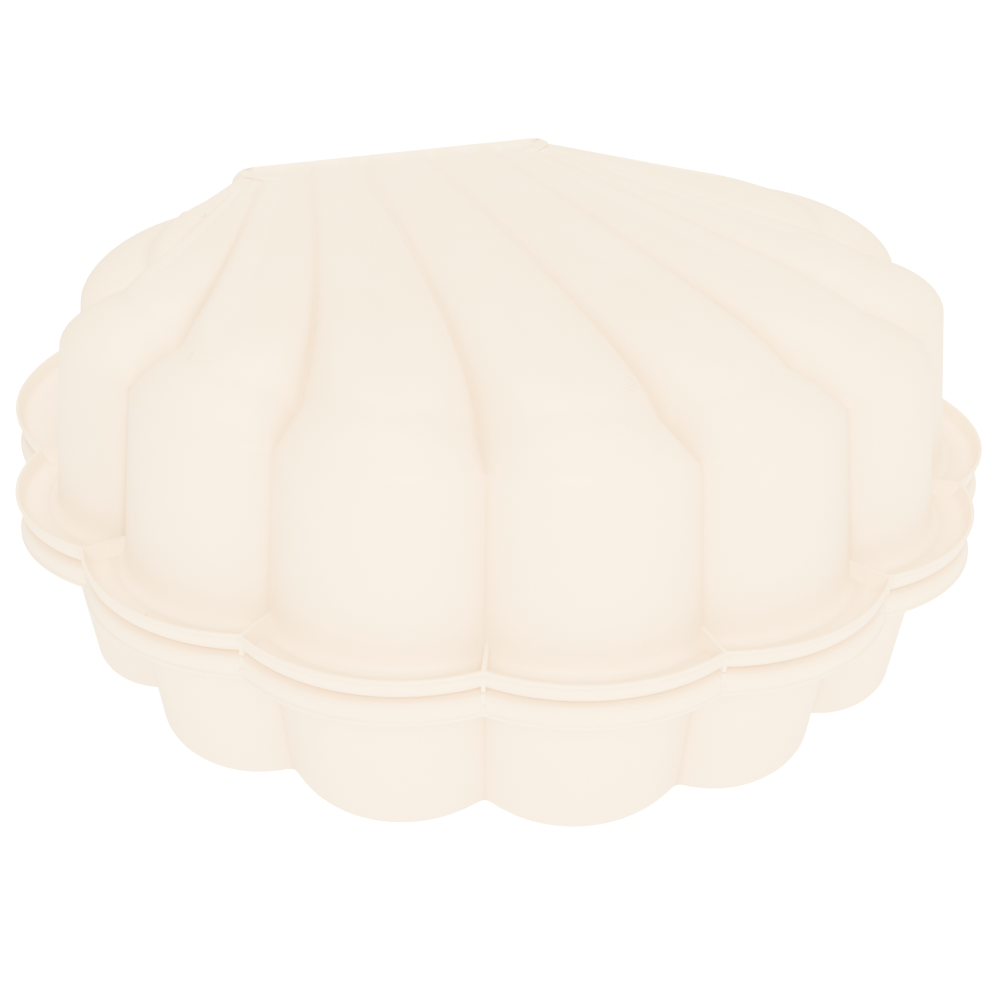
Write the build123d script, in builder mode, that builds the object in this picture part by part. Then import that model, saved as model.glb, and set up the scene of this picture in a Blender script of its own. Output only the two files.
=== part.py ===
from build123d import *
import math
import os

# Scallop-shell sandbox with its cover: two turned-over copies of one moulding, rim shelf to rim shelf.
# Millimetres, +Z up, front lobes toward -Y. One moulding is drawn with its mating plane at z = 0.

overall_width = 870.0        # across the widest lobes, X
overall_depth = 780.0        # front lobes to the straight back edge, Y
shell_height = 182.0         # mating plane to the flat top of one moulding
wall = 3.0                   # moulded wall everywhere
shelf_width = 33.5           # rim edge to the foot of the wall
lip_height = 18.7            # mating plane to the free edge of the lip
lip_bend = 10.0              # inset of the lip at the mating plane
lip_shoulder = 9.0           # height at which the bend becomes the straight lip
lip_flare = 1.6              # outward lean of the straight lip
foot_run = 7.0               # sloped foot of the wall, along the shelf
foot_rise = 8.0              # sloped foot of the wall, upward
draft_run = 13.0             # inward lean of the wall up to the shoulder
shoulder = 42.0              # rounding of the wall into the top
corner_shoulder = 22.0       # rounding of the small back corner lobes
hinge_shoulder = 12.0        # rounding of the straight back wall into the top
web_thickness = 3.0          # upright webs in the lip channel
web_height = 16.5            # top of the webs
web_reach = 44.0             # rim cusp to the web's inner end
pip_radius = 2.2             # small round pip outside each cusp
pip_proud = 1.4              # pip height off the lip
pip_level = 12.5             # pip centre above the mating plane
groove_front = 17.0          # groove radius where it leaves the valley
groove_back = 8.0            # groove radius at the straight back edge
groove_start = 66.0          # rim cusp to the start of its groove
groove_lift = 3.0            # groove centre line above the flat top

# Rim cusps of each side, front to back, as share of half the width and of the depth from the front
# lobes; then the outward bulge of the lobe that follows each cusp. The two sides differ behind the
# widest point: the right side has one long lobe there, the left side spreads into the back corner.
half = overall_width / 2.0
front = -overall_depth / 2.0
right_cusp_share = [
    (0.0, 0.0103),
    (0.384, 0.0628),
    (0.7172, 0.1962),
    (0.9149, 0.4038),
    (0.8356, 0.7628),
    (0.6897, 0.891),
]
right_bulge = [27.0, 30.0, 30.0, 52.0, 18.0, 30.0]
left_cusp_share = [
    (0.0, 0.0103),
    (0.384, 0.0628),
    (0.7172, 0.1962),
    (0.9149, 0.4038),
    (0.9322, 0.6397),
    (0.7931, 0.9295),
]
left_bulge = [27.0, 30.0, 30.0, 33.0, 36.0, 16.0]
back_corner_share = (0.4713, 1.0)
# The body's last two lobes on each side as (centre x share, centre y share, radius share of half
# the width): they stand further in than the rim, so the shelf is wider at the back corners.
right_back_lobes = [(0.3908, 0.7628, 0.3563), (0.3448, 0.8917, 0.1952)]
left_back_lobes = [(0.3678, 0.6282, 0.5648), (0.3448, 0.8917, 0.1952)]

# Where the top grooves of cusps -4 .. 4 end, as share of half the width and of the depth.
groove_end_share = [
    (-0.43, 0.86),
    (-0.324, 0.94),
    (-0.219, 0.94),
    (-0.092, 0.94),
    (0.077, 0.94),
    (0.245, 0.94),
    (0.37, 0.86),
    (0.4, 0.84),
    (0.42, 0.82),
]

os.makedirs("parts", exist_ok=True)


def lobe_circle(first, second, rise):
    """Centre and radius of the arc from first to second that bulges by rise to the right."""
    dx = second[0] - first[0]
    dy = second[1] - first[1]
    chord = math.hypot(dx, dy)
    radius = (chord * chord / 4.0 + rise * rise) / (2.0 * rise)
    mid_x = (first[0] + second[0]) / 2.0
    mid_y = (first[1] + second[1]) / 2.0
    back_off = radius - rise
    return (mid_x - dy / chord * back_off, mid_y + dx / chord * back_off, radius)


def side_lobes(shares, bulges):
    """Cusps and lobe circles of one side, drawn to the right."""
    points = [(sx * half, front + sy * overall_depth) for sx, sy in shares]
    corner = (back_corner_share[0] * half, front + back_corner_share[1] * overall_depth)
    ends = points[1:] + [corner]
    circles = [lobe_circle(points[i], ends[i], bulges[i]) for i in range(6)]
    return points, circles


def body_circles(circles, back_lobes):
    """The rim's first four lobes with the body's own two lobes at the back."""
    own = [(sx * half, front + sy * overall_depth, sr * half) for sx, sy, sr in back_lobes]
    return circles[:4] + own


def mirrored(circles):
    """The same circles on the left."""
    return [(-cx, cy, radius) for cx, cy, radius in circles]


right_cusps, right_rim = side_lobes(right_cusp_share, right_bulge)
left_cusps, left_rim = side_lobes(left_cusp_share, left_bulge)
rim_lobes = right_rim + mirrored(left_rim)
body_lobes = body_circles(right_rim, right_back_lobes) + mirrored(body_circles(left_rim, left_back_lobes))
all_cusps = [(-x, y) for x, y in reversed(left_cusps[1:])] + right_cusps
back_edge = min(right_rim[5][1] + right_rim[5][2], left_rim[5][1] + left_rim[5][2]) - 1.0
rim_half = min(right_rim[5][0], left_rim[5][0])
body_half = right_back_lobes[1][0] * half


def block(lobes, half_width, core, inset, low, steps, rounding, corner_rounding, back_rounding, top):
    """Solid fluted block: one revolved profile per lobe, a back block and a filled core.

    steps is a list of (extra inset, height) up the wall; the rounding then leads to the top.
    """
    last = steps[-1]
    core_points = [(cx * core, cy * core) for cx, cy, radius in lobes[:6] + lobes[:5:-1]]
    with BuildPart() as fluted:
        for index, (cx, cy, radius) in enumerate(lobes):
            curve = corner_rounding if index % 6 == 5 else rounding
            edge = radius - inset
            side = [(0.0, low)]
            side = side + [(edge - run, level) for run, level in steps]
            if last[1] < top - curve:
                side = side + [(edge - last[0], top - curve)]
            centre_x = edge - last[0] - curve
            diagonal = curve * math.sqrt(0.5)
            with BuildSketch(Plane(origin=(cx, cy, 0), x_dir=(1, 0, 0), z_dir=(0, -1, 0))):
                with BuildLine():
                    Polyline(*side)
                    if curve > 0:
                        ThreePointArc(
                            (edge - last[0], top - curve),
                            (centre_x + diagonal, top - curve + diagonal),
                            (centre_x, top),
                        )
                    Line((centre_x, top), (0.0, top))
                    Line((0.0, top), (0.0, low))
                make_face()
            revolve(axis=Axis((cx, cy, 0), (0, 0, 1)))
        back = back_edge - inset
        side = [(0.0, low)]
        side = side + [(back - run, level) for run, level in steps]
        if last[1] < top - back_rounding:
            side = side + [(back - last[0], top - back_rounding)]
        centre_y = back - last[0] - back_rounding
        diagonal = back_rounding * math.sqrt(0.5)
        with BuildSketch(Plane.YZ):
            with BuildLine():
                Polyline(*side)
                if back_rounding > 0:
                    ThreePointArc(
                        (back - last[0], top - back_rounding),
                        (centre_y + diagonal, top - back_rounding + diagonal),
                        (centre_y, top),
                    )
                Line((centre_y, top), (0.0, top))
                Line((0.0, top), (0.0, low))
            make_face()
        extrude(amount=half_width, both=True)
        with BuildSketch(Plane.XY.offset(low)):
            Polygon(*core_points, align=None)
        extrude(amount=top - low)
    return fluted.part


def groove_cutters(extra):
    """Cones lying in the top plane, from each rim valley to the straight back edge."""
    made = []
    starts = all_cusps[1:10]
    for (x, y), (share_x, share_y) in zip(starts, groove_end_share):
        length = math.hypot(x, y)
        start = (x * (1.0 - groove_start / length), y * (1.0 - groove_start / length))
        end = (share_x * half, front + share_y * overall_depth)
        run_x = end[0] - start[0]
        run_y = end[1] - start[1]
        run = math.hypot(run_x, run_y)
        seat_x = start[0] - extra * run_x / run
        seat_y = start[1] - extra * run_y / run
        seat = Plane(origin=(seat_x, seat_y, shell_height + groove_lift), z_dir=(run_x, run_y, 0))
        with BuildPart(seat) as cutter:
            Cone(
                groove_front + extra,
                groove_back + extra,
                run + 2.0 * extra,
                align=(Align.CENTER, Align.CENTER, Align.MIN),
            )
        made.append(cutter.part)
    return made


def moulding():
    """One complete moulding, mating plane at z = 0, cavity open downward, lip standing up."""
    drafted = (foot_run + draft_run, shell_height * 0.7)
    wall_steps = [(0.0, 0.0), (0.0, wall), (foot_run, wall + foot_rise), drafted]
    outer = block(
        body_lobes,
        body_half,
        1.0,
        shelf_width - foot_run,
        0.0,
        wall_steps,
        shoulder,
        corner_shoulder,
        hinge_shoulder,
        shell_height,
    )
    cavity_steps = [(0.0, -wall), (0.0, 0.0), (foot_run, foot_rise), drafted]
    cavity = block(
        body_lobes,
        body_half - wall,
        0.96,
        shelf_width - foot_run + wall,
        -wall,
        cavity_steps,
        shoulder - wall,
        corner_shoulder - wall,
        hinge_shoulder - wall,
        shell_height - wall,
    )
    lip_turn = (lip_flare + 2.4, lip_shoulder * 0.35)
    lip_steps = [(lip_bend, 0.0), lip_turn, (lip_flare, lip_shoulder), (0.0, lip_height)]
    lip_outer = block(rim_lobes, rim_half, 1.0, 0.0, 0.0, lip_steps, 0.0, 0.0, 0.0, lip_height)
    channel_steps = [
        (lip_bend + 1.0, wall),
        (lip_flare + 2.4, lip_shoulder * 0.35 + wall * 0.7),
        (lip_flare, lip_shoulder + wall * 0.3),
        (0.0, lip_height + wall),
    ]
    channel = block(rim_lobes, rim_half, 0.96, wall, wall, channel_steps, 0.0, 0.0, 0.0, lip_height + wall)
    with BuildPart() as made:
        add(lip_outer)
        add(channel, mode=Mode.SUBTRACT)
        for x, y in all_cusps:
            reach = math.hypot(x, y)
            lean = math.degrees(math.atan2(y, x))
            middle = reach - web_reach / 2.0 - 0.6
            where = Location((x * middle / reach, y * middle / reach, 0), (0, 0, lean))
            with Locations(where):
                Box(
                    web_reach,
                    web_thickness,
                    web_height,
                    align=(Align.CENTER, Align.CENTER, Align.MIN),
                )
            outward = Plane(
                origin=(x * (reach - 3.0) / reach, y * (reach - 3.0) / reach, pip_level),
                z_dir=(x, y, 0),
            )
            with BuildSketch(outward):
                Circle(pip_radius)
            extrude(amount=3.0 + pip_proud)
        add(outer)
        for cutter in groove_cutters(0.0):
            add(cutter, mode=Mode.SUBTRACT)
    with BuildPart() as hollow:
        add(cavity)
        for cutter in groove_cutters(wall):
            add(cutter, mode=Mode.SUBTRACT)
    with BuildPart() as finished:
        add(made.part)
        add(hollow.part, mode=Mode.SUBTRACT)
    return finished.part


one = moulding()
turned = mirror(one, about=Plane.XY)

with BuildPart() as cover_shell:
    with Locations((0, 0, shell_height)):
        add(one)
cover_shell.part.label = "cover_shell"
export_step(cover_shell.part, "parts/cover_shell.step")

with BuildPart() as base_shell:
    with Locations((0, 0, shell_height)):
        add(turned)
base_shell.part.label = "base_shell"
export_step(base_shell.part, "parts/base_shell.step")
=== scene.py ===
"""Scallop-shell sandbox with its lift-off cover: two turned-over polypropylene mouldings."""

import logging
import math
from collections.abc import Callable
from dataclasses import dataclass, field
from enum import Enum

import bpy
import numpy as np
from mathutils import Matrix, Vector
from mathutils.bvhtree import BVHTree

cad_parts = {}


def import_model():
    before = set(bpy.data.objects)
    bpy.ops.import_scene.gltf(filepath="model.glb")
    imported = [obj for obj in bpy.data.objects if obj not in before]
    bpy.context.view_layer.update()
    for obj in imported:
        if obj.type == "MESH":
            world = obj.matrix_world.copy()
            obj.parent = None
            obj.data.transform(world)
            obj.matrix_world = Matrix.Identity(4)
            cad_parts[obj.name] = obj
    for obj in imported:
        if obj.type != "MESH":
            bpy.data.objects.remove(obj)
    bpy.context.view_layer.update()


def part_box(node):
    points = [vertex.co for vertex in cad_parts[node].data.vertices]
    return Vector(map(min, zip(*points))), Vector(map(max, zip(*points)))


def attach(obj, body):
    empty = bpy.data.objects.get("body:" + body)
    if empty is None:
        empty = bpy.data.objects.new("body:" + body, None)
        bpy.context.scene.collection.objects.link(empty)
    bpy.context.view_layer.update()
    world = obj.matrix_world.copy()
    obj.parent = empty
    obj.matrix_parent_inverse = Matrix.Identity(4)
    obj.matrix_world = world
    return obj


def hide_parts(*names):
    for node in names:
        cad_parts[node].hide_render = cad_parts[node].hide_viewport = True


logging.basicConfig(level=logging.INFO, format="%(name)s: %(message)s")
LOG = logging.getLogger("scallop_sandbox")
MM = 0.001
NodeBuilder = Callable[[bpy.types.NodeTree, bpy.types.NodeSocket], bpy.types.NodeSocket]


class Half(Enum):
    """The two turned-over copies of the moulding."""

    BASE = "base"
    COVER = "cover"


class Lighting(Enum):
    """Kinds of light in the studio."""

    KEY = "key"
    FILL = "fill"
    TOP = "top"


def linear(hex_colour: str) -> tuple[float, float, float, float]:
    """Turn an sRGB hex colour into the linear RGBA that shaders use.

    Args:
        hex_colour: Six hex digits, with or without a leading hash.

    Returns:
        Linear red, green, blue and an alpha of 1.
    """
    digits = hex_colour.lstrip("#")
    channels = [int(digits[i : i + 2], 16) / 255.0 for i in (0, 2, 4)]
    out = [c / 12.92 if c <= 0.04045 else ((c + 0.055) / 1.055) ** 2.4 for c in channels]
    return (out[0], out[1], out[2], 1.0)


def add_node(
    tree: bpy.types.NodeTree, kind: str, inputs: dict | None = None, **settings: object
) -> bpy.types.Node:
    """Add a node with its settings, socket values and links.

    Args:
        tree: Tree that gets the node.
        kind: Node type identifier.
        inputs: Socket name, identifier or index to a value, or to an output socket to link from.
        **settings: Attributes of the node itself.

    Returns:
        The new node.
    """
    node = tree.nodes.new(kind)
    for name, value in settings.items():
        setattr(node, name, value)
    for key, value in (inputs or {}).items():
        socket = node.inputs[key]
        if isinstance(value, bpy.types.NodeSocket):
            tree.links.new(value, socket)
        else:
            socket.default_value = value
    return node


@dataclass(frozen=True)
class MouldedPolypropylene:
    """Injection-moulded polypropylene, cream, with a fine spark-eroded grain.

    The resin is slightly cloudy and lets some light in. The mould texture spreads the highlight into
    a broad satin glow. The folds and the seam carry a deeper cream that is painted shade, not the resin's
    own colour.
    """

    name: str = "polypropylene_cream_satin"
    body_hex: str = "F0E2C4"
    pale_hex: str = "F5EAD2"
    flow_hex: str = "E8D7B4"
    # painted shade: the deeper cream laid along the folds and the seam, standing for the shading that falls
    # there
    fold_shade_hex: str = "CBAE7A"
    roughness: float = 0.46
    ior: float = 1.49
    subsurface: float = 0.12
    subsurface_depth_mm: float = 5.0
    grain_mm: float = 1.6
    ripple_mm: float = 70.0
    scuff_mm: float = 9.0
    grain_bump: float = 0.10
    ripple_bump: float = 0.06

    def build(self) -> bpy.types.Material:
        """Make the material's node tree.

        Returns:
            The finished material.
        """
        material = bpy.data.materials.new(self.name)
        material.use_nodes = True
        tree = material.node_tree
        tree.nodes.clear()
        place = add_node(tree, "ShaderNodeTexCoord").outputs["Object"]
        # resin flow: broad clouding a little deeper in tone, as colour batches mix in the melt
        flow = add_node(
            tree,
            "ShaderNodeTexNoise",
            {"Vector": place, "Scale": 1.0 / (self.ripple_mm * 1.6 * MM), "Detail": 3.0, "Roughness": 0.55},
        )
        tone = add_node(
            tree,
            "ShaderNodeMapRange",
            {"Value": flow.outputs["Fac"], "From Min": 0.35, "From Max": 0.7, "To Min": 0.0, "To Max": 0.35},
        )
        clouded = self._mix(tree, tone.outputs["Result"], self.body_hex, self.flow_hex)
        # fine grain of the eroded mould, drawn at 1.6 mm so that it still shows at this distance
        grain = add_node(
            tree,
            "ShaderNodeTexNoise",
            {"Vector": place, "Scale": 1.0 / (self.grain_mm * MM), "Detail": 2.0, "Roughness": 0.5},
        )
        speck = add_node(
            tree,
            "ShaderNodeMapRange",
            {"Value": grain.outputs["Fac"], "From Min": 0.45, "From Max": 0.75, "To Max": 0.3},
        )
        even = self._mix(tree, speck.outputs["Result"], clouded, self.pale_hex)
        # painted shade: a deeper cream drawn along the folds and the seam, where soft light leaves them in
        # shade
        drawn = add_node(tree, "ShaderNodeAttribute", attribute_name="fold")
        uneven = add_node(
            tree,
            "ShaderNodeMapRange",
            {"Value": flow.outputs["Fac"], "From Min": 0.2, "From Max": 0.8, "To Min": 0.75, "To Max": 1.0},
        )
        # the painted shade is made a little patchy by the resin clouding
        along = add_node(
            tree,
            "ShaderNodeMath",
            {0: drawn.outputs["Fac"], 1: uneven.outputs["Result"]},
            operation="MULTIPLY",
        )
        colour = self._mix(tree, along.outputs["Value"], even, self.fold_shade_hex)
        # light handling scuffs: short smeared patches where the satin is polished or dulled
        stretched = add_node(tree, "ShaderNodeMapping", {"Vector": place, "Scale": (1.0, 1.0, 0.35)})
        scuff = add_node(
            tree,
            "ShaderNodeTexNoise",
            {
                "Vector": stretched.outputs["Vector"],
                "Scale": 1.0 / (self.scuff_mm * MM),
                "Detail": 5.0,
                "Roughness": 0.65,
                "Distortion": 0.6,
            },
        )
        satin = add_node(
            tree,
            "ShaderNodeMapRange",
            {
                "Value": scuff.outputs["Fac"],
                "From Min": 0.3,
                "From Max": 0.75,
                "To Min": self.roughness - 0.05,
                "To Max": self.roughness + 0.07,
            },
        )
        ripple = add_node(
            tree,
            "ShaderNodeTexNoise",
            {"Vector": place, "Scale": 1.0 / (self.ripple_mm * MM), "Detail": 1.0, "Roughness": 0.4},
        )
        sink = add_node(
            tree,
            "ShaderNodeBump",
            {"Strength": self.ripple_bump, "Distance": 4.0 * MM, "Height": ripple.outputs["Fac"]},
        )
        relief = add_node(
            tree,
            "ShaderNodeBump",
            {
                "Strength": self.grain_bump,
                "Distance": 0.15 * MM,
                "Height": grain.outputs["Fac"],
                "Normal": sink.outputs["Normal"],
            },
        )
        surface = add_node(
            tree,
            "ShaderNodeBsdfPrincipled",
            {
                "Base Color": colour,
                "Roughness": satin.outputs["Result"],
                "Normal": relief.outputs["Normal"],
                "IOR": self.ior,
                "Subsurface Weight": self.subsurface,
                "Subsurface Radius": (1.0, 0.72, 0.45),
                "Subsurface Scale": self.subsurface_depth_mm * MM,
            },
        )
        add_node(tree, "ShaderNodeOutputMaterial", {"Surface": surface.outputs["BSDF"]})
        return material

    @staticmethod
    def _mix(
        tree: bpy.types.NodeTree,
        share: bpy.types.NodeSocket,
        low: bpy.types.NodeSocket | str,
        high: bpy.types.NodeSocket | str,
    ) -> bpy.types.NodeSocket:
        """Blend two colours by a share.

        Args:
            tree: Material tree.
            share: Output that gives the share of the second colour.
            low: First colour, a hex string or an output.
            high: Second colour, a hex string or an output.

        Returns:
            The blended colour output.
        """
        node = add_node(tree, "ShaderNodeMix", {0: share}, data_type="RGBA")
        for index, value in ((6, low), (7, high)):
            if isinstance(value, str):
                node.inputs[index].default_value = linear(value)
            else:
                tree.links.new(value, node.inputs[index])
        return node.outputs[2]


def seen_strength(tree: bpy.types.NodeTree, lit: float, shown: float) -> bpy.types.NodeSocket:
    """Give one strength to the light that falls on the object and another to what the eye sees.

    Args:
        tree: Node tree of the sweep or the surround.
        lit: Strength that lights the object.
        shown: Strength of the plain white seen behind it.

    Returns:
        The strength output.
    """
    ray = add_node(tree, "ShaderNodeLightPath")
    strength = add_node(
        tree,
        "ShaderNodeMapRange",
        {"Value": ray.outputs["Is Camera Ray"], "To Min": lit, "To Max": shown},
    )
    return strength.outputs["Result"]


@dataclass(frozen=True)
class StudioWhite:
    """White seamless studio sweep, shown brighter than it lights the object, so that no edge shows."""

    name: str = "studio_sweep_white"
    paper_hex: str = "FFFFFF"
    glow: float = 1.2
    shown_glow: float = 16.0

    def build(self) -> bpy.types.Material:
        """Make the sweep's material.

        Returns:
            The finished material.
        """
        material = bpy.data.materials.new(self.name)
        material.use_nodes = True
        tree = material.node_tree
        tree.nodes.clear()
        surface = add_node(
            tree,
            "ShaderNodeBsdfPrincipled",
            {
                "Base Color": linear(self.paper_hex),
                "Roughness": 0.9,
                "Specular IOR Level": 0.1,
                "Emission Color": linear(self.paper_hex),
                "Emission Strength": seen_strength(tree, self.glow, self.shown_glow),
            },
        )
        add_node(tree, "ShaderNodeOutputMaterial", {"Surface": surface.outputs["BSDF"]})
        return material


@dataclass
class Outline:
    """Plan of the shell: rim cusps, bulged lobes and the straight back edge, in metres."""

    width: float
    depth: float
    # rim cusps of each side, front to back, as share of half the width and of the depth
    right_share: tuple[tuple[float, float], ...] = (
        (0.0, 0.0103),
        (0.384, 0.0628),
        (0.7172, 0.1962),
        (0.9149, 0.4038),
        (0.8356, 0.7628),
        (0.6897, 0.891),
    )
    left_share: tuple[tuple[float, float], ...] = (
        (0.0, 0.0103),
        (0.384, 0.0628),
        (0.7172, 0.1962),
        (0.9149, 0.4038),
        (0.9322, 0.6397),
        (0.7931, 0.9295),
    )
    right_bulge_mm: tuple[float, ...] = (27.0, 30.0, 30.0, 52.0, 18.0, 30.0)
    left_bulge_mm: tuple[float, ...] = (27.0, 30.0, 30.0, 33.0, 36.0, 16.0)
    corner_share: tuple[float, float] = (0.4713, 1.0)
    # the body's last two lobes on each side: centre and radius as share of half width and depth
    right_back: tuple[tuple[float, float, float], ...] = ((0.3908, 0.7628, 0.3563), (0.3448, 0.8917, 0.1952))
    left_back: tuple[tuple[float, float, float], ...] = ((0.3678, 0.6282, 0.5648), (0.3448, 0.8917, 0.1952))
    segments: int = 44
    back_segments: int = 132
    rim: list[tuple[float, float, float]] = field(default_factory=list)
    body: list[tuple[float, float, float]] = field(default_factory=list)
    cusps: list[tuple[float, float]] = field(default_factory=list)

    def __post_init__(self) -> None:
        """Work out the lobe circles, left to right around the front, and the cusps between them."""
        half, front = self.width / 2.0, -self.depth / 2.0
        corner = (self.corner_share[0] * half, front + self.corner_share[1] * self.depth)
        sides = []
        for shares, rises, back in (
            (self.right_share, self.right_bulge_mm, self.right_back),
            (self.left_share, self.left_bulge_mm, self.left_back),
        ):
            points = [(x * half, front + y * self.depth) for x, y in shares]
            rim = [self._circle(a, b, s * MM) for a, b, s in zip(points, points[1:] + [corner], rises)]
            own = [(x * half, front + y * self.depth, r * half) for x, y, r in back]
            sides.append((points, rim, rim[:4] + own))
        (right, right_rim, right_body), (left, left_rim, left_body) = sides
        self.rim = [(-x, y, r) for x, y, r in reversed(left_rim)] + right_rim
        self.body = [(-x, y, r) for x, y, r in reversed(left_body)] + right_body
        self.cusps = [(-x, y) for x, y in reversed(left[1:])] + right

    @staticmethod
    def _circle(a: tuple[float, float], b: tuple[float, float], rise: float) -> tuple[float, float, float]:
        """Find the circle of the arc from a to b that bulges by rise.

        Args:
            a: Start cusp.
            b: End cusp.
            rise: Bulge beyond the chord.

        Returns:
            Centre x, centre y and radius.
        """
        dx, dy = b[0] - a[0], b[1] - a[1]
        chord = math.hypot(dx, dy)
        radius = (chord * chord / 4.0 + rise * rise) / (2.0 * rise)
        back_off = (radius - rise) / chord
        return ((a[0] + b[0]) / 2.0 - dy * back_off, (a[1] + b[1]) / 2.0 + dx * back_off, radius)

    @staticmethod
    def _meet(
        first: tuple[float, float, float], second: tuple[float, float, float], inset: float
    ) -> np.ndarray:
        """Find where two inset lobe circles cross on the outer side.

        Args:
            first: Lobe circle before the cusp.
            second: Lobe circle after the cusp.
            inset: Distance taken off both radii.

        Returns:
            The crossing point.
        """
        a, b = np.array(first[:2]), np.array(second[:2])
        ra, rb = first[2] - inset, second[2] - inset
        gap = float(np.linalg.norm(b - a))
        along = (gap * gap + ra * ra - rb * rb) / (2.0 * gap)
        high = math.sqrt(max(ra * ra - along * along, 0.0))
        unit = (b - a) / gap
        return a + unit * along + np.array([unit[1], -unit[0]]) * high

    def ring(self, inset: float, soften: float, lobes: list[tuple[float, float, float]]) -> np.ndarray:
        """Trace an outline at an inset, counter-clockwise from the back left corner.

        Args:
            inset: Distance inside the rim edge.
            soften: Length along each arc over which a cusp is rounded.
            lobes: Lobe circles of the rim or of the body.

        Returns:
            Points around the outline: all lobes, then the straight back edge from right to left.
        """
        count = len(lobes)
        meets = [self._meet(lobes[i], lobes[i + 1], inset) for i in range(count - 1)]
        first, last = lobes[0], lobes[-1]
        start = np.array([first[0], first[1] + first[2] - inset])
        end = np.array([last[0], last[1] + last[2] - inset])
        knots = [start] + meets + [end]
        steps = np.arange(self.segments) / self.segments
        # samples crowd toward the cusps, so that the rounded valley is well resolved
        share = 0.5 - 0.5 * np.cos(np.pi * steps) * (0.55 + 0.45 * np.cos(np.pi * steps) ** 2)
        points = []
        for index, (cx, cy, radius) in enumerate(lobes):
            centre = np.array([cx, cy])
            a, b = knots[index] - centre, knots[index + 1] - centre
            low, high = math.atan2(a[1], a[0]), math.atan2(b[1], b[0])
            if high < low:
                high += 2.0 * math.pi
            angle = low + (high - low) * share
            size = radius - inset
            arc = centre + size * np.stack([np.cos(angle), np.sin(angle)], axis=1)
            from_start, to_end = (angle - low) * size, (high - angle) * size
            reach = min(soften, 0.45 * (high - low) * size)
            for side, knot, dist in ((0, index, from_start), (1, index + 1, to_end)):
                if knot in (0, count) or reach <= 0.0:
                    continue
                near = dist < reach
                mine = low + reach / size if side == 0 else high - reach / size
                own = centre + size * np.array([math.cos(mine), math.sin(mine)])
                other = self._step_from(lobes, knot, inset, reach, side)
                u = 0.5 + 0.5 * dist[near, None] / reach
                arc[near] = (1 - u) ** 2 * other + 2 * u * (1 - u) * knots[knot] + u**2 * own
            points.append(arc)
        run = np.arange(self.back_segments) / self.back_segments
        points.append(end + (start - end) * run[:, None])
        return np.concatenate(points)

    def _step_from(
        self, lobes: list[tuple[float, float, float]], knot: int, inset: float, reach: float, side: int
    ) -> np.ndarray:
        """Step along the neighbouring lobe's arc away from a cusp.

        Args:
            lobes: Lobe circles in order.
            knot: Number of the cusp, 1 for the first between two lobes.
            inset: Distance inside the rim edge.
            reach: Length of the step.
            side: 0 to step back onto the lobe before the cusp, 1 to step onto the one after.

        Returns:
            The point on the neighbouring arc.
        """
        cx, cy, radius = lobes[knot - 1 if side == 0 else knot]
        meet = self._meet(lobes[knot - 1], lobes[knot], inset)
        size = radius - inset
        angle = math.atan2(meet[1] - cy, meet[0] - cx) + (-reach if side == 0 else reach) / size
        return np.array([cx + size * math.cos(angle), cy + size * math.sin(angle)])


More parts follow.
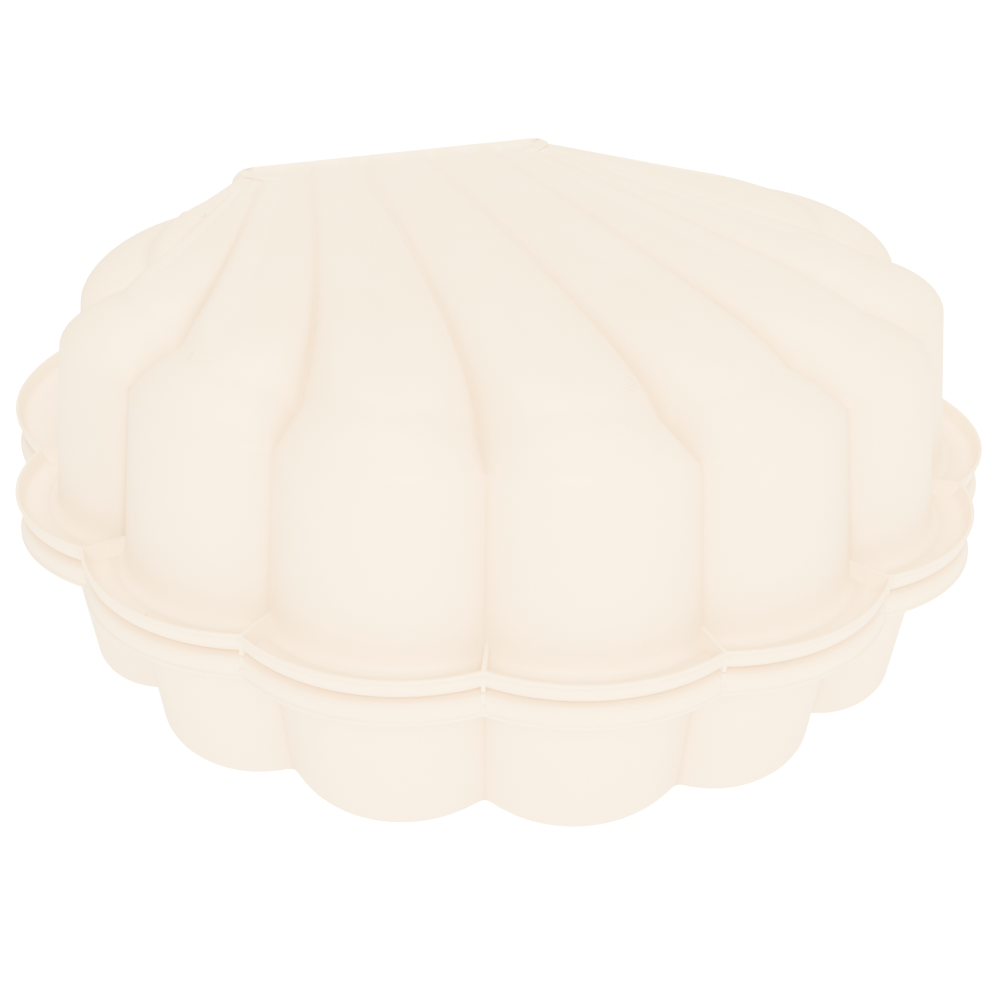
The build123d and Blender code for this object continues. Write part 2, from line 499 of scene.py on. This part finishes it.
@dataclass
class ShellMoulding:
    """One scallop tub moulding, drawn with its mating plane at z = 0 and its cavity open downward."""

    outline: Outline
    height: float
    wall: float = 3.0 * MM
    shelf: float = 33.5 * MM
    lip: float = 18.7 * MM
    bend: float = 10.0 * MM
    draft: float = 16.0 * MM
    shoulder: float = 42.0 * MM
    back_shoulder: float = 12.0 * MM
    foot: float = 8.0 * MM
    valley_soft: float = 9.0 * MM
    top_soft: float = 34.0 * MM
    groove_deep: float = 34.0 * MM
    groove_shallow: float = 5.0 * MM
    groove_wide: float = 66.0 * MM
    groove_narrow: float = 15.0 * MM
    crown: float = 3.0 * MM
    # reach of the painted fold shade to either side of each valley
    shade_reach: float = 17.0 * MM
    roll: float = 6.5 * MM
    roll_share: float = 0.26
    # the shoulder reaches this many times further inward than it rises
    dome: float = 1.5
    # part of the quarter turn climbed, so that the shoulder runs on into the top without a crease
    turn_share: float = 0.93
    # how far each fold keeps the shoulder's direction before it bends towards the back edge
    fold_bend: float = 0.16
    middle: tuple[float, float] = (0.0, 0.025)
    pitch_front: float = 0.15
    least_pitch: float = 0.02
    hinge_half: float = 0.162
    # where the folds between the lobes end along the straight back edge, left to right
    fold_ends: tuple[float, ...] = (
        -0.160, -0.153, -0.141, -0.095, -0.040, 0.033, 0.107, 0.146, 0.155, 0.159, 0.161,
    )
    fan_steps: int = 40

    def _lip_levels(self, inner: bool) -> list[tuple[float, float]]:
        """List the rings of the lip and shelf, from the free edge to the foot of the wall.

        Args:
            inner: True for the cavity and lip outside, False for the channel side.

        Returns:
            Inset and height of each ring.
        """
        arc = np.linspace(0.0, math.pi / 2.0, 7)
        flare, bend = 2.0 * MM, self.bend
        if inner:
            edge = [(0.6 * MM, self.lip), (0.0, self.lip - 0.7 * MM), (0.1 * MM, self.lip * 0.86)]
            edge += [(0.9 * MM, self.lip * 0.85), (1.1 * MM, self.lip * 0.7)]
            edge += [(flare + bend * (1 - math.cos(a)), bend * (1 - math.sin(a))) for a in arc]
            edge += [(flare + bend + 6.0 * MM, 0.0), (self.shelf - self.foot, 0.0)]
            return edge
        inside = max(bend - self.wall, 1.0 * MM)
        edge = [(2.2 * MM, self.lip), (2.7 * MM, self.lip - 0.5 * MM), (3.4 * MM, self.lip * 0.7)]
        edge += [
            (flare + self.wall + inside * (1 - math.cos(a)), self.wall + inside * (1 - math.sin(a)))
            for a in arc
        ]
        edge += [(flare + bend + 6.0 * MM, self.wall), (self.shelf - self.foot, self.wall)]
        return edge

    def _wall_levels(self, inner: bool) -> list[tuple[float, float]]:
        """List the rings of the rounded foot and the drafted wall up to the shoulder.

        Args:
            inner: True for the cavity side.

        Returns:
            Inset and height of each ring.
        """
        base = 0.0 if inner else self.wall
        extra = self.wall if inner else 0.0
        rings = []
        for a in np.linspace(0.0, math.pi / 2.0, 6)[1:]:
            rings.append(
                (self.shelf + extra - self.foot * (1 - math.sin(a)), base + self.foot * (1 - math.cos(a)))
            )
        low, top = base + self.foot, self.height - self.shoulder
        for share in np.linspace(0.0, 1.0, 9)[1:]:
            rings.append((self.shelf + extra + self.draft * share, low + (top - low) * share))
        return rings

    def _top(
        self, last: np.ndarray, eased: np.ndarray, inner: bool
    ) -> tuple[list[np.ndarray], list[np.ndarray]]:
        """Round the wall over the shoulder and run the folded top back to the straight edge.

        Args:
            last: Plan points of the ring at the start of the shoulder.
            eased: The same ring with its valleys widely rounded, reached at the end of the shoulder.
            inner: True for the ceiling of the cavity.

        Returns:
            Full rings of the shoulder, then open rows of the top's fan.
        """
        plan = self.outline
        count = len(plan.body) * plan.segments
        total = len(last)
        extra = self.wall if inner else 0.0
        lobe = np.arange(total) / plan.segments
        # how far a point lies into the back corner, where the rounding tightens
        corner = np.clip(np.minimum(lobe, len(plan.body) - lobe), 0.0, 1.0)
        corner[count:] = 0.0
        soft = corner * corner * (3 - 2 * corner)
        radial = last - np.array(self.middle)
        radial /= np.linalg.norm(radial, axis=1)[:, None]
        back_edge = last[count:, 1].mean() - self.back_shoulder - 2.0 * MM
        ends = np.interp(np.arange(count + 1) / plan.segments, *self._fold_targets())
        target = np.column_stack([ends, np.full(count + 1, back_edge)])
        # the shoulder leans half towards the middle and half along its own fold
        ahead = -radial
        ahead[:count] = target[:count] - last[:count]
        ahead /= np.linalg.norm(ahead, axis=1)[:, None]
        lean = 0.5 * (ahead - radial)
        inward = lean * soft[:, None] + np.array([0.0, -1.0]) * (1 - soft)[:, None]
        inward /= np.linalg.norm(inward, axis=1)[:, None]
        radius = self.back_shoulder + (self.shoulder - self.back_shoulder) * soft - extra
        start = self.height - self.shoulder
        peak = self.height - extra
        dip = self._folds(lobe, count, total)
        shoulder = []
        lift = (peak - radius) - start
        for step in np.linspace(0.0, 1.0, 12)[1:]:
            angle = step * math.pi / 2.0
            blend = step * step * (3 - 2 * step)
            reach = radius * (1.0 + (self.dome - 1.0) * soft) * (1 - math.cos(angle))
            flat = last + (eased - last) * blend + inward * reach[:, None]
            # tight corners climb straight first, so that the rounding ends level everywhere
            climbed = math.sin(self.turn_share * angle) / math.sin(self.turn_share * math.pi / 2.0)
            rise = np.maximum(radius - dip(0.0), 0.5 * MM) * climbed
            z = np.minimum(start + lift * np.minimum(step * 2.4, 1.0) + rise, peak)
            shoulder.append(np.column_stack([flat, z]))
        front = shoulder[-1][: count + 1, :2]
        away = np.linalg.norm(target - front, axis=1)[:, None]
        bend = front + inward[: count + 1] * away * self.fold_bend
        rows = []
        for share in np.linspace(0.0, 1.0, self.fan_steps + 1)[1:]:
            flat = front * (1.0 - share) ** 2 + bend * (2.0 * share * (1.0 - share)) + target * share**2
            low = dip(share)
            z = peak - np.append(low[:count], low[count - 1])
            rows.append(np.column_stack([flat, z]))
        return shoulder, rows

    def _fold_targets(self) -> tuple[list[float], list[float]]:
        """Pair lobe positions around the outline with end positions along the back edge.

        Returns:
            Lobe positions and the matching x coordinates.
        """
        places = [float(i) for i in range(len(self.fold_ends) + 2)]
        return places, [-self.hinge_half, *self.fold_ends, self.hinge_half]

    def _folds(self, lobe: np.ndarray, count: int, total: int) -> Callable[[float], np.ndarray]:
        """Shape the folds between the lobes across the top.

        Args:
            lobe: Lobe position of each ring point.
            count: Number of ring points on lobes.
            total: Number of ring points in all.

        Returns:
            A function from the share of the way back to the depth at each ring point.
        """
        places, ends = self._fold_targets()
        pitch_back = np.interp(lobe[:count], places[:-1], np.diff(ends))
        off = np.abs(lobe - np.round(lobe))
        edge = np.minimum(lobe, len(self.outline.body) - lobe)
        live = np.clip((edge - 0.55) / 0.5, 0.0, 1.0)
        live[count:] = 0.0

        def depth(share: float) -> np.ndarray:
            """Depth of the folds at one share of the way back."""
            pitch = np.full(total, self.pitch_front)
            narrowed = np.maximum(pitch_back, self.least_pitch) - self.pitch_front
            pitch[:count] = self.pitch_front + narrowed * share
            ease = (1.0 - share) ** 2.4
            wide = self.groove_narrow + (self.groove_wide - self.groove_narrow) * ease
            deep = self.groove_shallow + (self.groove_deep - self.groove_shallow) * ease
            distance = off * pitch
            fold = 1.0 / (1.0 + (distance / (wide * 0.38)) ** 2) - 0.02
            swell = self.crown * (2.0 * off) ** 2
            roll = self.roll * max(0.0, 1.0 - share / self.roll_share) ** 2
            return (np.maximum(deep * fold, 0.0) + swell + roll) * live

        return depth

    def _skin(self, inner: bool) -> tuple[list[np.ndarray], list[np.ndarray]]:
        """Build one side of the sheet from the lip's free edge to the top.

        Args:
            inner: True for the cavity side.

        Returns:
            Full rings and the open rows of the top.
        """
        rings = []
        for inset, z in self._lip_levels(inner):
            lobes = self.outline.body if inset > self.shelf - 1.5 * self.foot else self.outline.rim
            plan = self.outline.ring(inset, 2.2 * MM, lobes)
            rings.append(np.column_stack([plan, np.full(len(plan), z)]))
        for inset, z in self._wall_levels(inner):
            plan = self.outline.ring(inset, self.valley_soft, self.outline.body)
            rings.append(np.column_stack([plan, np.full(len(plan), z)]))
        eased = self.outline.ring(self._wall_levels(inner)[-1][0], self.top_soft, self.outline.body)
        shoulder, rows = self._top(plan, eased, inner)
        return rings + shoulder, rows

    def _painted_fold_shade(self, inner: bool, rings: int, rows: int, total: int) -> np.ndarray:
        """Say how far each vertex lies in a fold or at the seam, for the painted shade drawn there.

        Args:
            inner: True for the cavity side, whose rim meets the other half.
            rings: Number of full rings.
            rows: Number of open rows of the top.
            total: Number of points in a ring.

        Returns:
            A share from 0 to 1 for every vertex of one side.
        """
        plan = self.outline
        count = len(plan.body) * plan.segments
        lobe = np.arange(total) / plan.segments
        off = np.abs(lobe - np.round(lobe)) * 0.17 / self.shade_reach
        inside = np.clip(np.minimum(lobe, len(plan.body) - lobe) / 0.5, 0.0, 1.0)
        inside[count:] = 0.0
        # painted shade: strongest in each valley between lobes, fading out onto the lobes
        fold = np.exp(-(off**1.3)) * inside
        levels = self._lip_levels(inner)
        lip = len(levels)
        climb = np.linspace(1.0, 0.8, rings - lip)
        # painted shade in the groove where the lip bends of the two halves meet
        seam_shade = [max(0.0, 1.0 - z / (0.6 * self.bend)) if inner else 0.0 for _, z in levels[:-1]]
        parts = [np.full(total, share) for share in seam_shade] + [0.35 + 0.45 * fold]
        parts += [fold * level for level in climb]
        # the painted shade thins out across the top towards the back edge
        fade = [0.8 * (1.0 - (k + 1) / rows) ** 0.8 + 0.12 for k in range(rows)]
        across = np.append(fold[:count], 0.0)
        return np.concatenate(parts + [across * level for level in fade])

    def mesh_data(self) -> tuple[np.ndarray, list[tuple[int, ...]], np.ndarray]:
        """Assemble the sheet from its two skins, joined along the lip's free edge.

        Gaps stay where each skin's folded top meets the rounding of the straight back wall.

        Returns:
            Vertex array, face list with outward faces, and each vertex's share of the painted fold shade.
        """
        verts: list[np.ndarray] = []
        painted_shade: list[np.ndarray] = []
        faces: list[tuple[int, ...]] = []
        first_rings = []
        for inner in (False, True):
            rings, rows = self._skin(inner)
            painted_shade.append(self._painted_fold_shade(inner, len(rings), len(rows), len(rings[0])))
            start = sum(len(v) for v in verts)
            total = len(rings[0])
            verts.extend(rings)
            ids = [np.arange(total) + start + k * total for k in range(len(rings))]
            local: list[tuple[int, ...]] = []
            for low, high in zip(ids, ids[1:]):
                nxt_low, nxt_high = np.roll(low, -1), np.roll(high, -1)
                local.extend(zip(low.tolist(), nxt_low.tolist(), nxt_high.tolist(), high.tolist()))
            count = len(self.outline.body) * self.outline.segments
            last = ids[-1]
            row = np.append(last[:count], last[count])
            at = start + len(rings) * total
            for data in rows:
                verts.append(data)
                new = np.arange(count + 1) + at
                at += count + 1
                local.extend(zip(row[:-1].tolist(), row[1:].tolist(), new[1:].tolist(), new[:-1].tolist()))
                row = new
            local.extend(self._close_back(row, last, count, rows[-1]))
            faces.extend(local if not inner else [tuple(reversed(f)) for f in local])
            first_rings.append(ids[0])
        top, under = first_rings
        faces.extend(
            zip(under.tolist(), np.roll(under, -1).tolist(), np.roll(top, -1).tolist(), top.tolist())
        )
        return np.concatenate(verts), faces, np.concatenate(painted_shade)

    def _close_back(
        self, row: np.ndarray, last: np.ndarray, count: int, points: np.ndarray
    ) -> list[tuple[int, ...]]:
        """Run a strip from the end of the fan to the rounded top of the straight back wall.

        Args:
            row: Vertex numbers at the end of the fan, left to right.
            last: Vertex numbers of the last full ring.
            count: Number of ring points on lobes.
            points: Coordinates of the fan's last row.

        Returns:
            Faces of the joining strip.
        """
        back = np.append(last[count:], last[0])[::-1]
        spans = len(back) - 1
        faces: list[tuple[int, ...]] = []
        xs = points[:, 0]
        marks = [int(np.argmin(np.abs(xs - x))) for x in np.linspace(xs[0], xs[-1], spans + 1)]
        marks[0], marks[-1] = 0, len(row) - 1
        for k in range(spans):
            a, b = marks[k], max(marks[k], marks[k + 1])
            chain = row[a : b + 1].tolist()
            faces.append(tuple(chain + [int(back[k + 1]), int(back[k])]))
        return faces


@dataclass
class SandboxShell:
    """One half of the sandbox: the moulding with its webs, pips, gate marks and drain boss."""

    half: Half
    moulding: ShellMoulding
    mating: float
    material: bpy.types.Material
    web_thick: float = 3.0 * MM
    web_tall: float = 17.6 * MM
    web_long: float = 40.0 * MM
    pip_radius: float = 2.2 * MM
    pip_level: float = 12.5 * MM

    def _settle(self, points: np.ndarray) -> np.ndarray:
        """Turn the drawn moulding into its place, upright or turned over.

        Args:
            points: Coordinates with the mating plane at z = 0.

        Returns:
            Coordinates in the shared frame.
        """
        placed = points.copy()
        if self.half is Half.BASE:
            placed[:, 2] *= -1.0
        placed[:, 2] += self.mating
        return placed

    def shell(self) -> bpy.types.Object:
        """Build the fluted sheet of this half.

        Returns:
            The shell's object.
        """
        points, faces, painted_shade = self.moulding.mesh_data()
        if self.half is Half.BASE:
            faces = [tuple(reversed(face)) for face in faces]
        mesh = bpy.data.meshes.new(f"{self.half.value}_sheet")
        mesh.from_pydata(self._settle(points).tolist(), [], faces)
        # share of painted shade along the folds and at the seam, which the material darkens by
        fold = mesh.attributes.new("fold", "FLOAT", "POINT")
        fold.data.foreach_set("value", painted_shade.astype(np.float32))
        mesh.validate()
        mesh.update()
        for polygon in mesh.polygons:
            polygon.use_smooth = True
        made = bpy.data.objects.new(f"{self.half.value}_sheet", mesh)
        bpy.context.scene.collection.objects.link(made)
        made.data.materials.append(self.material)
        return made

    def _repeat(
        self, name: str, points: np.ndarray, lean: np.ndarray, build: NodeBuilder
    ) -> bpy.types.Object:
        """Run a Geometry Nodes tree that repeats one small feature at given points.

        Args:
            name: Name of the finished piece.
            points: Places of the copies.
            lean: Turn of each copy about the vertical.
            build: Function that adds the feature's nodes to a tree and returns its geometry output.

        Returns:
            A plain mesh object.
        """
        seeds = bpy.data.meshes.new(f"{name}_seeds")
        seeds.from_pydata(points.tolist(), [], [])
        turn = seeds.attributes.new("turn", "FLOAT", "POINT")
        turn.data.foreach_set("value", lean.astype(np.float32))
        carrier = bpy.data.objects.new(f"{name}_seeds", seeds)
        bpy.context.scene.collection.objects.link(carrier)
        tree = bpy.data.node_groups.new(f"{name}_tree", "GeometryNodeTree")
        tree.interface.new_socket("Geometry", in_out="INPUT", socket_type="NodeSocketGeometry")
        size = tree.interface.new_socket("Size", in_out="INPUT", socket_type="NodeSocketFloat")
        tree.interface.new_socket("Geometry", in_out="OUTPUT", socket_type="NodeSocketGeometry")
        entry = add_node(tree, "NodeGroupInput")
        feature = build(tree, entry.outputs["Size"])
        angle = add_node(tree, "GeometryNodeInputNamedAttribute", {"Name": "turn"}, data_type="FLOAT")
        spin = add_node(tree, "ShaderNodeCombineXYZ", {"Z": angle.outputs["Attribute"]})
        spread = add_node(
            tree,
            "GeometryNodeInstanceOnPoints",
            {"Points": entry.outputs["Geometry"], "Instance": feature, "Rotation": spin.outputs["Vector"]},
        )
        solid = add_node(tree, "GeometryNodeRealizeInstances", {"Geometry": spread.outputs["Instances"]})
        dressed = add_node(
            tree,
            "GeometryNodeSetMaterial",
            {"Geometry": solid.outputs["Geometry"], "Material": self.material},
        )
        add_node(tree, "NodeGroupOutput", {"Geometry": dressed.outputs["Geometry"]})
        modifier = carrier.modifiers.new(name, "NODES")
        modifier.node_group = tree
        modifier[size.identifier] = 1.0
        depsgraph = bpy.context.evaluated_depsgraph_get()
        mesh = bpy.data.meshes.new_from_object(carrier.evaluated_get(depsgraph))
        carrier.modifiers.clear()
        bpy.data.objects.remove(carrier)
        mesh.name = name
        for polygon in mesh.polygons:
            polygon.use_smooth = len(polygon.vertices) < 4
        made = bpy.data.objects.new(name, mesh)
        bpy.context.scene.collection.objects.link(made)
        return made

    def webs(self) -> bpy.types.Object:
        """Stand an upright web across the lip channel at every rim cusp.

        Returns:
            The webs of this half as one piece.
        """
        cusps = np.array(self.moulding.outline.cusps)
        reach = np.linalg.norm(cusps, axis=1)
        middle = cusps * ((reach - self.web_long / 2.0 - 1.6 * MM) / reach)[:, None]
        level = 0.5 * (self.web_tall + 1.0 * MM)
        points = self._settle(np.column_stack([middle, np.full(len(cusps), level)]))
        lean = np.arctan2(cusps[:, 1], cusps[:, 0])

        def build(tree: bpy.types.NodeTree, size: bpy.types.NodeSocket) -> bpy.types.NodeSocket:
            """Add the nodes of one web."""
            block = add_node(
                tree,
                "GeometryNodeMeshCube",
                {
                    "Size": (self.web_long, self.web_thick, self.web_tall - 1.0 * MM),
                    "Vertices X": 9,
                    "Vertices Y": 2,
                    "Vertices Z": 4,
                },
            )
            grown = add_node(
                tree, "GeometryNodeScaleElements", {"Geometry": block.outputs["Mesh"], "Scale": size}
            )
            return grown.outputs["Geometry"]

        return self._repeat(f"{self.half.value}_webs", points, lean, build)

    def pips(self) -> bpy.types.Object:
        """Set a small round pip outside each rim cusp.

        Returns:
            The pips of this half as one piece.
        """
        cusps = np.array(self.moulding.outline.cusps)
        reach = np.linalg.norm(cusps, axis=1)
        spots = cusps * ((reach - 0.9 * MM) / reach)[:, None]
        points = self._settle(np.column_stack([spots, np.full(len(cusps), self.pip_level)]))
        lean = np.arctan2(cusps[:, 1], cusps[:, 0])

        def build(tree: bpy.types.NodeTree, size: bpy.types.NodeSocket) -> bpy.types.NodeSocket:
            """Add the nodes of one pip."""
            ball = add_node(
                tree, "GeometryNodeMeshIcoSphere", {"Radius": self.pip_radius, "Subdivisions": 3}
            )
            grown = add_node(
                tree, "GeometryNodeScaleElements", {"Geometry": ball.outputs["Mesh"], "Scale": size}
            )
            return grown.outputs["Geometry"]

        return self._repeat(f"{self.half.value}_pips", points, lean, build)

    def gate_marks(self) -> bpy.types.Object:
        """Raise the faint rings that the mould's injection gates leave on the flat top.

        Returns:
            The gate marks of this half as one piece.
        """
        spots = [(-0.292, -0.09), (-0.024, -0.245), (-0.236, 0.212), (-0.182, 0.296)]
        drawn, faces, _ = self.moulding.mesh_data()
        skin = BVHTree.FromPolygons(drawn.tolist(), faces)
        seats = [skin.ray_cast(Vector((x, y, 1.0)), Vector((0.0, 0.0, -1.0)))[0] for x, y in spots]
        points = self._settle(np.array([(seat.x, seat.y, seat.z - 0.35 * MM) for seat in seats]))
        lean = np.zeros(len(spots))

        def build(tree: bpy.types.NodeTree, size: bpy.types.NodeSocket) -> bpy.types.NodeSocket:
            """Add the nodes of one ring with its nub."""
            circle = "GeometryNodeCurvePrimitiveCircle"
            path = add_node(tree, circle, {"Resolution": 40, "Radius": 11.0 * MM})
            section = add_node(tree, circle, {"Resolution": 8, "Radius": 0.55 * MM})
            ring = add_node(
                tree,
                "GeometryNodeCurveToMesh",
                {"Curve": path.outputs["Curve"], "Profile Curve": section.outputs["Curve"]},
            )
            nub = add_node(tree, "GeometryNodeMeshIcoSphere", {"Radius": 0.6 * MM, "Subdivisions": 2})
            both = add_node(tree, "GeometryNodeJoinGeometry")
            tree.links.new(ring.outputs["Mesh"], both.inputs[0])
            tree.links.new(nub.outputs["Mesh"], both.inputs[0])
            grown = add_node(
                tree, "GeometryNodeScaleElements", {"Geometry": both.outputs["Geometry"], "Scale": size}
            )
            return grown.outputs["Geometry"]

        return self._repeat(f"{self.half.value}_gate_marks", points, lean, build)

    def drain_boss(self) -> bpy.types.Object:
        """Raise the small round boss in the lip channel on the left side.

        Returns:
            The boss as one piece.
        """
        points = self._settle(np.array([(-0.367, -0.161, self.moulding.wall + 0.7 * MM)]))

        def build(tree: bpy.types.NodeTree, size: bpy.types.NodeSocket) -> bpy.types.NodeSocket:
            """Add the nodes of the boss."""
            disc = add_node(
                tree, "GeometryNodeMeshCylinder", {"Vertices": 32, "Radius": 4.0 * MM, "Depth": 2.2 * MM}
            )
            grown = add_node(
                tree, "GeometryNodeScaleElements", {"Geometry": disc.outputs["Mesh"], "Scale": size}
            )
            return grown.outputs["Geometry"]

        return self._repeat(f"{self.half.value}_drain_boss", points, np.zeros(1), build)

    def assemble(self) -> None:
        """Build every piece of this half and tie it to its body."""
        node = f"{self.half.value}_shell"
        sheet = self.shell()
        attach(sheet, self.half.value)
        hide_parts(node)
        LOG.info("%s: %d faces", sheet.name, len(sheet.data.polygons))
        for piece in (self.webs(), self.pips(), self.gate_marks(), self.drain_boss()):
            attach(piece, self.half.value)
            LOG.info("%s: %d faces", piece.name, len(piece.data.polygons))


@dataclass
class Studio:
    """White sweep, soft light and the camera."""

    centre: Vector
    azimuth_deg: float = -22.66
    elevation_deg: float = 26.74
    roll_deg: float = 0.66
    distance: float = 1.3941
    lens_mm: float = 54.2
    shift_x: float = -0.0052
    shift_y: float = -0.0683
    surround: float = 2.7
    shown_surround: float = 40.0
    surround_hex: str = "FFE8BC"
    lamp_hex: str = "FFE4B3"

    def floor(self) -> None:
        """Lay the sweep under the object."""
        size, level = 12.0, -0.5 * MM
        mesh = bpy.data.meshes.new("studio_sweep")
        corners = [(-size, -size, level), (size, -size, level), (size, size, level), (-size, size, level)]
        mesh.from_pydata(corners, [], [(0, 1, 2, 3)])
        sweep = bpy.data.objects.new("studio_sweep", mesh)
        mesh.materials.append(StudioWhite().build())
        bpy.context.scene.collection.objects.link(sweep)

    def lights(self) -> None:
        """Hang the soft boxes and set the pale surround."""
        world = bpy.data.worlds.new("pale_surround")
        bpy.context.scene.world = world
        world.use_nodes = True
        backdrop = world.node_tree.nodes["Background"]
        backdrop.inputs["Color"].default_value = linear(self.surround_hex)
        strength = seen_strength(world.node_tree, self.surround, self.shown_surround)
        world.node_tree.links.new(strength, backdrop.inputs["Strength"])
        boxes = {
            Lighting.KEY: ((-1.1, -2.5, 1.9), 1.3, 490.0),
            Lighting.FILL: ((2.4, -1.6, 1.6), 1.8, 136.0),
            Lighting.TOP: ((0.2, 0.8, 3.2), 1.8, 380.0),
        }
        for kind, (place, size, power) in boxes.items():
            data = bpy.data.lights.new(kind.value, "AREA")
            data.shape = "SQUARE"
            data.size = size
            data.energy = power
            data.color = linear(self.lamp_hex)[:3]
            lamp = bpy.data.objects.new(kind.value, data)
            lamp.location = place
            aim = self.centre - Vector(place)
            lamp.rotation_euler = aim.to_track_quat("-Z", "Y").to_euler()
            bpy.context.scene.collection.objects.link(lamp)

    def camera(self) -> None:
        """Place the camera and make it the scene's."""
        a, e, t = (math.radians(v) for v in (self.azimuth_deg, self.elevation_deg, self.roll_deg))
        back = Vector((math.sin(a) * math.cos(e), -math.cos(a) * math.cos(e), math.sin(e)))
        right = Vector((math.cos(a), math.sin(a), 0.0))
        up = back.cross(right)
        rolled_right = right * math.cos(t) + up * math.sin(t)
        rolled_up = up * math.cos(t) - right * math.sin(t)
        eye = self.centre + back * self.distance
        turn = Matrix((rolled_right, rolled_up, back)).transposed().to_4x4()
        data = bpy.data.cameras.new("studio_camera")
        data.lens = self.lens_mm
        data.sensor_width = 36.0
        data.shift_x = self.shift_x
        data.shift_y = self.shift_y
        data.clip_end = 60.0
        seat = bpy.data.objects.new("studio_camera", data)
        seat.matrix_world = Matrix.Translation(eye) @ turn
        bpy.context.scene.collection.objects.link(seat)
        bpy.context.scene.camera = seat

    def build(self) -> None:
        """Set up the whole studio."""
        self.floor()
        self.lights()
        self.camera()


def main() -> None:
    """Load the frame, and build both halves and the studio."""
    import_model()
    low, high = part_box("cover_shell")
    mating = low.z
    plan = Outline(width=0.870, depth=0.780)
    moulding = ShellMoulding(outline=plan, height=high.z - mating)
    plastic = MouldedPolypropylene().build()
    for half in Half:
        SandboxShell(half=half, moulding=moulding, mating=mating, material=plastic).assemble()
    Studio(centre=Vector((0.0, 0.025, mating))).build()


if __name__ == "__main__":
    main()
